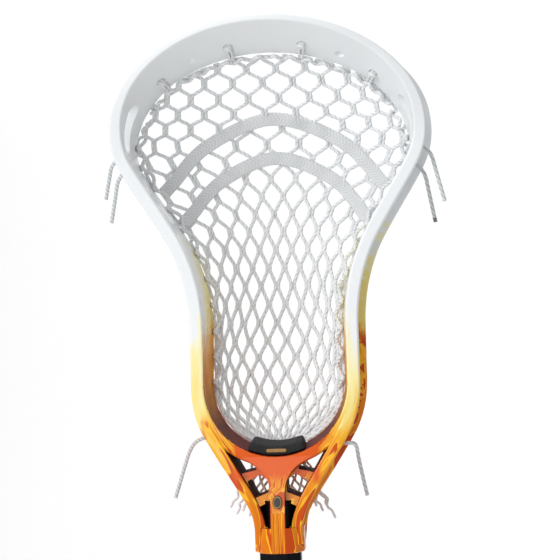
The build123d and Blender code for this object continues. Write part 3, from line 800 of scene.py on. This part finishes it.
def beads(name, centres, radii, slot, material):
    """A squashed ball at each centre: rings of latitude from pole to pole."""
    lat = np.linspace(-np.pi / 2, np.pi / 2, 9)
    lon = 2 * np.pi * np.arange(12) / 12
    flat, high = np.cos(lat)[:, None], np.sin(lat)[:, None]
    ball = np.stack([flat * np.cos(lon), flat * np.sin(lon), high + 0 * lon], -1)
    rings = centres[:, None, None] + ball[None] * np.asarray(radii)[None, None, None]
    along = np.broadcast_to((lat * radii[2])[None], (len(centres), len(lat)))
    new_piece(name, rings, along, slot, material)


def hitch_places(side):
    """Centres of the hitches: in front of each hole, against the wall's inner face."""
    shares = HOLE_START + np.arange(HOLES) * HOLE_PITCH / OUTLINE_LENGTH
    _, back_edge, inward = wall_at(shares)
    return wall_point(shares, inward + 1.2, back_edge - 3.6, side)


places = np.vstack([hitch_places(-1.0), hitch_places(1.0)])
beads("rail_hitches", places, (1.9, 1.9, 2.3), "nylon_cord", white_nylon)

# %% [markdown]
# ## Ties through the scoop
# Four short lashings hold the top string. Each comes through a hole as a small hitch and
# runs down the scoop's inner face as two strands side by side. One flat band would be
# simpler, but two round strands catch the light as string does.

# %% Ties
TIE_SPREADS = np.array([25.0, 78.5])  # along the outline from the crown's middle, mm
TIE = 1.9


def tie_lines(side):
    """Two strands a tie, from within the hole down to the top string. Their middles run 1.2 to
    1.6 mm off the wall's inner face.
    """
    lines = []
    for spread in TIE_SPREADS:
        for step in (-1.3, 1.3):
            share = 1 - (spread + step) / OUTLINE_LENGTH
            rise, back_edge, inward = wall_at(share)
            front, rail = table(WALL, 1, rise), table(WALL, 3, rise)
            hole = front + 0.64 * (back_edge - front)
            between = hole + 0.35 * (back_edge - hole)
            depth = np.array([hole - 0.6, hole + 0.4, between, back_edge - 1.5, back_edge + 1.2])
            face = rail + (inward - rail) * np.minimum(depth - front, back_edge - front) / (back_edge - front)
            gap = face + np.array([-2.6, 1.2, 1.5, 1.4, 1.6])
            lines.append(through(wall_point(np.full(5, share), gap, depth, side), 40))
    return lines


strands = np.array(tie_lines(-1.0) + tie_lines(1.0))
rings, along = carried(strands, TIE / 2, TIE / 2, 10, (1, 0, 0))
ties = new_piece("scoop_lashings", rings, along, "nylon_cord", white_nylon)
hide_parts("scoop_ties")
knots = strands[:, 8].reshape(-1, 2, 3).mean(axis=1)
beads("scoop_hitches", knots, (2.7, 2.0, 2.0), "nylon_cord", white_nylon)

# %% [markdown]
# ## The net's lower end
# Below the bowl the net is lashed to the head, and what is left of it fans out behind the
# throat as a fringe of cords. The fringe could be scattered by chance, but a wave for
# each cord makes neighbours meet as they do in a net, and gives the same fringe each run.

# %% Bottom lashing and fringe
LASHING = 2.4
FRINGE_CORD = 1.5
FRINGE_COUNT = 18
FRINGE_TOP = 60.5
angle = np.radians(np.linspace(-36, 36, 120))
turn = 2 * np.pi * np.linspace(0, 9, 120)
radius = BOWL_RADIUS + 0.5 + 0.9 * np.sin(turn)
height = COLLAR + BOWL_CENTRE - radius * np.cos(angle)
lash = np.stack([radius * np.sin(angle), 21.6 + 0.4 * np.cos(turn), height], -1)
rings, along = carried(lash[None], LASHING / 2, LASHING / 2, 10, (0, -1, 0))
lashing = new_piece("bowl_lashing", rings, along, "nylon_cord", white_nylon)
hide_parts("bottom_string")


def fringe_lines():
    """Cords that fan from the bowl. Each goes from its place in the narrow top row to its place
    in the spread foot row, plus half the gap between cords times a triangle wave with its
    peaks cut flat. Neighbours have opposite waves, so they meet, and the wave fades out near
    the foot, where the ends hang free.
    """
    t = np.linspace(0, 1, 90)[None]
    cord = np.arange(FRINGE_COUNT)[:, None]
    middle = (FRINGE_COUNT - 1) / 2
    share = (cord - middle) / middle
    top_x, foot_x = 12.0 * share, 32.0 * share
    foot = 19.5 + 4.0 * np.cos(2.2 * cord) * np.cos(1.3 * cord) + 3.0 * (1 - np.abs(share))
    x = top_x + (foot_x - top_x) * t**1.1
    gap = (24.0 + 40.0 * t) / (FRINGE_COUNT - 1)
    sign = np.where(cord % 2 == 0, 1.0, -1.0)
    triangle = 4 * np.abs((t * 4.6 + 0.1) % 1 - 0.5) - 1
    zig = np.clip(1.3 * triangle, -1, 1) * np.clip((0.95 - t) * 12, 0, 1)
    x = x + sign * zig * 0.5 * np.maximum(gap - 0.9, 0.2)
    y = 24.6 + 0.5 * sign * zig + 0.3 * np.sin(3 * t + cord)
    z = COLLAR + FRINGE_TOP + (foot - FRINGE_TOP) * t
    return np.stack([x, y + 0 * x, z + 0 * x], -1)


rings, along = carried(fringe_lines(), FRINGE_CORD / 2, FRINGE_CORD / 2, 8, (0, -1, 0))
fringe = new_piece("net_fringe", rings, along, "mesh_knit", net_yarn)
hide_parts("mesh_tail")

# %% [markdown]
# ## Ball stop
# A pad of black closed-cell foam is glued inside the bowl. It is soft, so its edges are
# full and round, and its ends are nearly as thick as its middle. A bevelled block could be
# bent to fit, but a section carried round the bowl follows the wall from the start. Its
# skin is matt with fine pores, drawn about 0.7 mm apart so that they show.

# %% Foam finish
foam_skin, tree, shader, coordinates = finish("closed_cell_foam", {"Roughness": 0.82, "IOR": 1.45})
pores = add(tree, "TexVoronoi", {"Scale": 1500.0}, Vector=coordinates.outputs["Object"])
grain = add(tree, "TexNoise", {"Scale": 600.0, "Detail": 3.0}, Vector=coordinates.outputs["Object"])
tone = mix(tree, grain.outputs[0], "#0A0A0B", "#2A2A2C")
height = maths(tree, "ADD", pores.outputs["Distance"], grain.outputs[0])
bump = add(tree, "Bump", {"Strength": 0.6, "Distance": 0.35 * MM}, Height=height)
tree.links.new(shader.inputs["Base Color"], tone)
tree.links.new(shader.inputs["Normal"], bump.outputs[0])

# %% Pad
PAD_REACH = 23.4  # degrees to each side of the bowl's lowest point
PAD_MIDDLE, PAD_HALF = 2.75, 11.6  # its middle and half its width along Y, mm
PAD_THICK = 5.9


def pad_surface():
    """The pad's section, a rounded oblong, carried round the bowl. Its thickness is even, and
    eases by a tenth at the ends, by the angle's share to the twelfth power.
    """
    angle = np.radians(np.linspace(-PAD_REACH, PAD_REACH, 60))[:, None]
    a = 2 * np.pi * np.arange(36)[None] / 36
    squash = np.sign(np.cos(a)) * np.abs(np.cos(a)) ** 0.35
    swell = np.sign(np.sin(a)) * np.abs(np.sin(a)) ** 0.5
    depth = PAD_MIDDLE + PAD_HALF * squash
    face = BOWL_RADIUS - 0.1 * (depth + 9.0) - 0.35
    thick = PAD_THICK * (1 - 0.1 * np.abs(angle / angle.max()) ** 12)
    radius = face - thick * (0.5 + 0.5 * swell)
    radius = np.minimum(radius, face)
    height = COLLAR + BOWL_CENTRE - radius * np.cos(angle)
    ring = np.stack([radius * np.sin(angle), depth + 0 * radius, height], -1)
    centre = ring.mean(axis=1, keepdims=True)
    ends = np.array([0.0, 0.86, 0.96])[:, None, None]
    push = np.array([1.0, 0.9, 0.5])[:, None, None] * 0.6
    run = unit(centre[1:2] - centre[0:1])
    start = centre[:1] + (ring[:1] - centre[:1]) * ends - run * push
    run = unit(centre[-1:] - centre[-2:-1])
    end = centre[-1:] + (ring[-1:] - centre[-1:]) * ends[::-1] + run * push[::-1]
    rings = np.concatenate([start, ring, end])
    return rings[None], np.linspace(0, 36, len(rings))[None]


pad = new_piece("foam_ball_stop", *pad_surface(), "foam", foam_skin)
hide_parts("ball_stop")

# %% [markdown]
# ## The head's nylon
# The head is one piece of moulded nylon: glossy, with a faint ripple from the mould. The
# top is left white and the throat is dipped in flame colours, from deep orange round the
# collar to yellow and cream. The flames could be painted on an image, but noise needs none
# and stays sharp. Noise that is about 6 mm across and 33 mm tall moves the height at which
# each colour gives way, and a finer one draws the tongues and their bright rims. Painted
# shade turns the walls inside the throat's windows maroon, and those that look into the
# bowl amber and, lower down, maroon.

# %% A copy of the head


def head_copy():
    """A copy of the head's CAD mesh, which keeps that mesh's own normals, so that flat faces
    stay flat and round ones round.
    """
    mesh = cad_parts["head_frame"].data.copy()
    mesh.name = "moulded_head"
    mesh.materials.clear()
    piece = bpy.data.objects.new("moulded_head", mesh)
    bpy.context.collection.objects.link(piece)
    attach(piece, "root")
    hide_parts("head_frame")
    return piece


def mark_painted_shade(piece):
    """Writes a face attribute of painted shade, from 0 to 1: one inside the throat's windows,
    from a half to nine tenths on the faces that look into the bowl, more the lower they are,
    and nothing elsewhere.
    """
    mesh = piece.data
    count = len(mesh.polygons)
    normals, centres = np.empty(count * 3, np.float32), np.empty(count * 3, np.float32)
    mesh.polygons.foreach_get("normal", normals)
    mesh.polygons.foreach_get("center", centres)
    normals, centres = normals.reshape(-1, 3), centres.reshape(-1, 3) / MM
    rise = centres[:, 2] - COLLAR
    outer = np.interp(rise, OUTLINE[:, 1], OUTLINE[:, 0])
    sideways = np.abs(normals[:, 1]) < 0.55
    inside = np.abs(centres[:, 0]) < outer - 3.0
    bowl = np.hypot(centres[:, 0], np.minimum(rise - BOWL_CENTRE, 0)) < BOWL_RADIUS + 1.5
    window = inside & sideways & ~bowl & (rise > 12) & (rise < 62)
    inner = sideways & bowl & (rise > 50)
    deep = np.where(inner, np.interp(rise, [60.0, 92.0, 120.0, 138.0], [0.88, 0.66, 0.46, 0.0]), 0.0)
    deep = np.where(window, 1.0, deep).astype(np.float32)
    layer = mesh.attributes.new("deep", "FLOAT", "FACE")
    layer.data.foreach_set("value", deep)
    print("dark faces in the throat:", int((deep > 0).sum()), "of", count)


def mark_flow(piece):
    """Writes 'flow' on each corner point, in mm: how far in from the outline, the place along
    Y, and how far along the outline from the collar. From 8 to 14 mm in, as on the spine, it
    eases over to plain across and up.
    """
    mesh = piece.data
    points = np.empty(len(mesh.vertices) * 3, np.float32)
    mesh.vertices.foreach_get("co", points)
    points = points.reshape(-1, 3) / MM
    x, rise = np.abs(points[:, 0]), points[:, 2] - COLLAR
    steps = np.linspace(0, 1, 500)
    marks = np.stack([np.interp(steps, SHARES, OUTLINE[:, c]) for c in range(2)], axis=1)
    spots = []
    for part in np.array_split(np.arange(len(x)), 1 + len(x) // 4000):
        gaps = (x[part, None] - marks[:, 0]) ** 2 + (rise[part, None] - marks[:, 1]) ** 2
        spots.append(np.argmin(gaps, axis=1))
    spot = np.concatenate(spots)
    inward = np.hypot(x - marks[spot, 0], rise - marks[spot, 1])
    along = steps[spot] * OUTLINE_LENGTH
    ease = np.clip((inward - 8) / 6, 0, 1)
    flow = np.stack([inward * (1 - ease) + x * ease, points[:, 1], along * (1 - ease) + rise * ease], axis=1)
    flow[:, 0] += np.where(points[:, 0] < 0, 60.0, 0.0)
    layer = mesh.attributes.new("flow", "FLOAT_VECTOR", "POINT")
    layer.data.foreach_set("vector", flow.astype(np.float32).ravel())


head = head_copy()
mark_painted_shade(head)
mark_flow(head)

# %% Nylon finish
moulded = {"Roughness": 0.22, "IOR": 1.5, "Specular IOR Level": 0.35}
nylon, tree, shader, coordinates = finish("dip_dyed_moulded_nylon", moulded)
place = add(tree, "SeparateXYZ", None, Vector=coordinates.outputs["Object"])
rise = maths(tree, "MULTIPLY_ADD", place.outputs["Z"], 1000.0, -COLLAR)
depth = maths(tree, "MULTIPLY", place.outputs["Y"], 1000.0)
flow = add(tree, "Attribute", {"attribute_name": "flow"})
stretch = add(tree, "Mapping", {"Scale": (0.16, 0.10, 0.030)}, Vector=flow.outputs["Vector"])
soft = {"Scale": 1.0, "Detail": 1.0, "Roughness": 0.4, "Distortion": 0.5}
tongues = add(tree, "TexNoise", soft, Vector=stretch.outputs[0])
finer = {"Scale": (0.24, 0.17, 0.034), "Location": (3.0, 1.0, 7.0)}
stretch = add(tree, "Mapping", finer, Vector=flow.outputs["Vector"])
soft = {"Scale": 1.0, "Detail": 0.6, "Roughness": 0.35, "Distortion": 0.7}
licks = add(tree, "TexNoise", soft, Vector=stretch.outputs[0])
swing = maths(tree, "MULTIPLY_ADD", tongues.outputs[0], 70.0, -35.0)
higher_behind = {"interpolation_type": "SMOOTHSTEP", 1: 6.0, 2: 26.0, 3: 0.0, 4: 56.0}
deeper = add(tree, "MapRange", higher_behind, Value=depth)
height = maths(tree, "SUBTRACT", maths(tree, "ADD", rise, swing), deeper.outputs[0])
fade = add(tree, "MapRange", {1: 0.0, 2: 160.0}, Value=height)
fire = ramp(
    tree,
    fade.outputs[0],
    [
        (0.0, "#DE7608"),
        (0.22, "#E8850C"),
        (0.34, "#F09A14"),
        (0.44, "#F5B428"),
        (0.53, "#F6DC7E"),
        (0.66, "#F6EAA8"),
        (0.76, "#F4EEC8"),
        (0.82, "#ECEFF1"),
    ],
)
black, white = "#000000", "#FFFFFF"
edge = [(0.0, black), (0.50, black), (0.52, white), (0.55, white), (0.57, black)]
rim = ramp(tree, licks.outputs[0], edge)
body = ramp(tree, licks.outputs[0], [(0.0, black), (0.55, black), (0.58, white)])
below = add(tree, "MapRange", {1: 84.0, 2: 66.0}, Value=height)
colour = mix(tree, maths(tree, "MULTIPLY", body, below.outputs[0]), fire, "#CE4C06")
colour = mix(tree, maths(tree, "MULTIPLY", rim, below.outputs[0]), colour, "#FFBE28")
field_up = add(tree, "MapRange", {1: 42.0, 2: 46.0}, Value=maths(tree, "MULTIPLY_ADD", swing, 0.2, rise))
field_low = add(tree, "MapRange", {1: 78.0, 2: 74.0}, Value=rise)
aside = maths(tree, "MULTIPLY", maths(tree, "ABSOLUTE", place.outputs["X"]), 1000.0)
field_in = add(tree, "MapRange", {1: 27.0, 2: 24.0}, Value=aside)
field = maths(tree, "MULTIPLY", field_up.outputs[0], field_in.outputs[0])
field = maths(tree, "MULTIPLY", field, field_low.outputs[0])
colour = mix(tree, field, colour, "#E25A06")
# Painted shade: the marked faces inside the windows and those that look into the bowl turn amber with the
# licks, then maroon.
shade = add(tree, "Attribute", {"attribute_name": "deep"})
amber_shade_mask = maths(tree, "MULTIPLY", shade.outputs["Fac"], 1.8, clamp=True)
maroon_shade_mask = maths(tree, "MULTIPLY_ADD", shade.outputs["Fac"], 5.0, -2.9, clamp=True)
colour = mix(tree, amber_shade_mask, colour, mix(tree, licks.outputs[0], "#B44A02", "#FFB81E"))
colour = mix(tree, maroon_shade_mask, colour, "#5C1204")
ripple = add(tree, "TexNoise", {"Scale": 120.0, "Detail": 2.0}, Vector=coordinates.outputs["Object"])
grain = add(tree, "TexNoise", {"Scale": 2500.0, "Detail": 2.0}, Vector=coordinates.outputs["Object"])
surface = maths(tree, "MULTIPLY_ADD", grain.outputs[0], 0.25, ripple.outputs[0])
bump = add(tree, "Bump", {"Strength": 0.12, "Distance": 0.5 * MM}, Height=surface)
gloss = maths(tree, "MULTIPLY_ADD", ripple.outputs[0], 0.14, 0.16)
gloss = maths(tree, "MULTIPLY_ADD", shade.outputs["Fac"], 0.5, gloss)
tree.links.new(shader.inputs["Base Color"], colour)
tree.links.new(shader.inputs["Normal"], bump.outputs[0])
tree.links.new(shader.inputs["Roughness"], gloss)
head.data.materials.append(nylon)
print("finish:", nylon.name)

# %% [markdown]
# ## Finishes of the CAD pieces
# The shaft is drawn aluminium, anodised black: fine lines run along it and it shines like
# satin. The cap is moulded rubber with a pebbled grip. The screw is blackened steel. The
# inlay is printed vinyl and the badge is an enamelled plug, both without lettering. Their
# shapes could be modelled again, but the CAD ones are right, so each only gets a finish.

# %% Shaft, cap and screw


def wear(node, material):
    """Gives a CAD node its finish."""
    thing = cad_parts[node]
    thing.data.materials.clear()
    thing.data.materials.append(material)


anodised, tree, shader, coordinates = finish("black_anodised_aluminium", {"Metallic": 1.0, "Roughness": 0.35})
stretch = add(tree, "Mapping", {"Scale": (3000.0, 3000.0, 12.0)}, Vector=coordinates.outputs["Object"])
draw = add(tree, "TexNoise", {"Scale": 1.0, "Detail": 3.0}, Vector=stretch.outputs[0])
tone = mix(tree, draw.outputs[0], "#141416", "#26272A")
bump = add(tree, "Bump", {"Strength": 0.15, "Distance": 0.05 * MM}, Height=draw.outputs[0])
tree.links.new(shader.inputs["Base Color"], tone)
tree.links.new(shader.inputs["Roughness"], maths(tree, "MULTIPLY_ADD", draw.outputs[0], 0.25, 0.25))
tree.links.new(shader.inputs["Normal"], bump.outputs[0])
wear("shaft", anodised)

rubber, tree, shader, coordinates = finish("moulded_rubber", {"Roughness": 0.75, "IOR": 1.5})
pebble = add(tree, "TexVoronoi", {"Scale": 900.0}, Vector=coordinates.outputs["Object"])
# Painted shade: the hollows of the pebbling are darker.
tone = mix(tree, pebble.outputs["Distance"], "#0C0C0D", "#232324")
bump = add(tree, "Bump", {"Strength": 0.5, "Distance": 0.3 * MM}, Height=pebble.outputs["Distance"])
tree.links.new(shader.inputs["Base Color"], tone)
tree.links.new(shader.inputs["Normal"], bump.outputs[0])
wear("end_cap", rubber)

steel, tree, shader, coordinates = finish("blackened_steel", {"Metallic": 1.0, "Roughness": 0.4})
grit = add(tree, "TexNoise", {"Scale": 1800.0, "Detail": 3.0}, Vector=coordinates.outputs["Object"])
tree.links.new(shader.inputs["Base Color"], mix(tree, grit.outputs[0], "#2A2A2C", "#55565A"))
tree.links.new(shader.inputs["Roughness"], maths(tree, "MULTIPLY_ADD", grit.outputs[0], 0.3, 0.25))
wear("head_screw", steel)

# %% Inlay and badge
BADGE_RISE = 30.5  # of its middle above the collar, mm
BADGE_HALF = (2.8, 3.9)  # half its width and half its height, mm
inlay, tree, shader, coordinates = finish("printed_vinyl_inlay", {"Roughness": 0.45, "IOR": 1.52})
grit = add(tree, "TexNoise", {"Scale": 900.0, "Detail": 2.0}, Vector=coordinates.outputs["Object"])
tree.links.new(shader.inputs["Base Color"], mix(tree, grit.outputs[0], "#8A6430", "#B98A4A"))
wear("ball_stop_inlay", inlay)

plug, tree, shader, coordinates = finish("enamelled_plug", {"Roughness": 0.3, "IOR": 1.5})
place = add(tree, "SeparateXYZ", None, Vector=coordinates.outputs["Object"])
off_x = maths(tree, "DIVIDE", maths(tree, "ABSOLUTE", place.outputs["X"]), BADGE_HALF[0] * MM)
above = maths(tree, "SUBTRACT", place.outputs["Z"], (COLLAR + BADGE_RISE) * MM)
off_z = maths(tree, "DIVIDE", maths(tree, "ABSOLUTE", above), BADGE_HALF[1] * MM)
square = maths(tree, "ADD", maths(tree, "MULTIPLY", off_x, off_x), maths(tree, "MULTIPLY", off_z, off_z))
rings = [(0.0, "#20211C"), (0.70, "#17180F"), (0.76, "#A0813E"), (0.86, "#A0813E"), (0.92, "#3A2410")]
tone = ramp(tree, maths(tree, "SQRT", square), rings)
tree.links.new(shader.inputs["Base Color"], tone)
wear("throat_badge", plug)
print("finished CAD pieces:", 5)

# %% [markdown]
# ## Floor and wall
# A pale sweep of painted board: flat under the stick, curved at the back and upright
# behind it. A floor and a wall could be two planes, but then a corner would show. Its back
# is see-through, so that it hides nothing when the stick is looked at from behind.

# %% Sweep


def sweep_surface():
    """A strip whose profile is a flat floor, a quarter circle and an upright wall, carried
    sideways.
    """
    a = np.linspace(0, np.pi / 2, 24)
    y = np.concatenate([[-6.0], 1.6 + 1.2 * np.sin(a), [2.8]])
    z = np.concatenate([[0.0], 1.2 - 1.2 * np.cos(a), [6.0]])
    x = np.array([-6.0, 6.0])
    grid = np.stack(np.broadcast_arrays(x[:, None], y[None], z[None]), -1).reshape(-1, 3)
    n = len(y)
    j = np.arange(n - 1)
    faces = np.stack([j, n + j, n + j + 1, j + 1], -1)
    mesh = bpy.data.meshes.new("studio_floor")
    mesh.from_pydata(grid.tolist(), [], faces.tolist())
    mesh.polygons.foreach_set("use_smooth", np.ones(len(faces), bool))
    floor = bpy.data.objects.new("studio_floor", mesh)
    bpy.context.collection.objects.link(floor)
    return floor


floor = sweep_surface()
matt = {"Roughness": 0.9, "Base Color": linear("#FAFAFA")}
paint, tree, shader, coordinates = finish("matt_painted_board", matt)
board = add(tree, "NewGeometry", None)
clear = add(tree, "BsdfTransparent", None)
shown = add(tree, "MixShader", None, Fac=board.outputs["Backfacing"])
tree.links.new(shown.inputs[1], shader.outputs[0])
tree.links.new(shown.inputs[2], clear.outputs[0])
output = next(node for node in tree.nodes if node.type == "OUTPUT_MATERIAL")
tree.links.new(output.inputs["Surface"], shown.outputs[0])
floor.data.materials.append(paint)
print("floor faces:", len(floor.data.polygons))
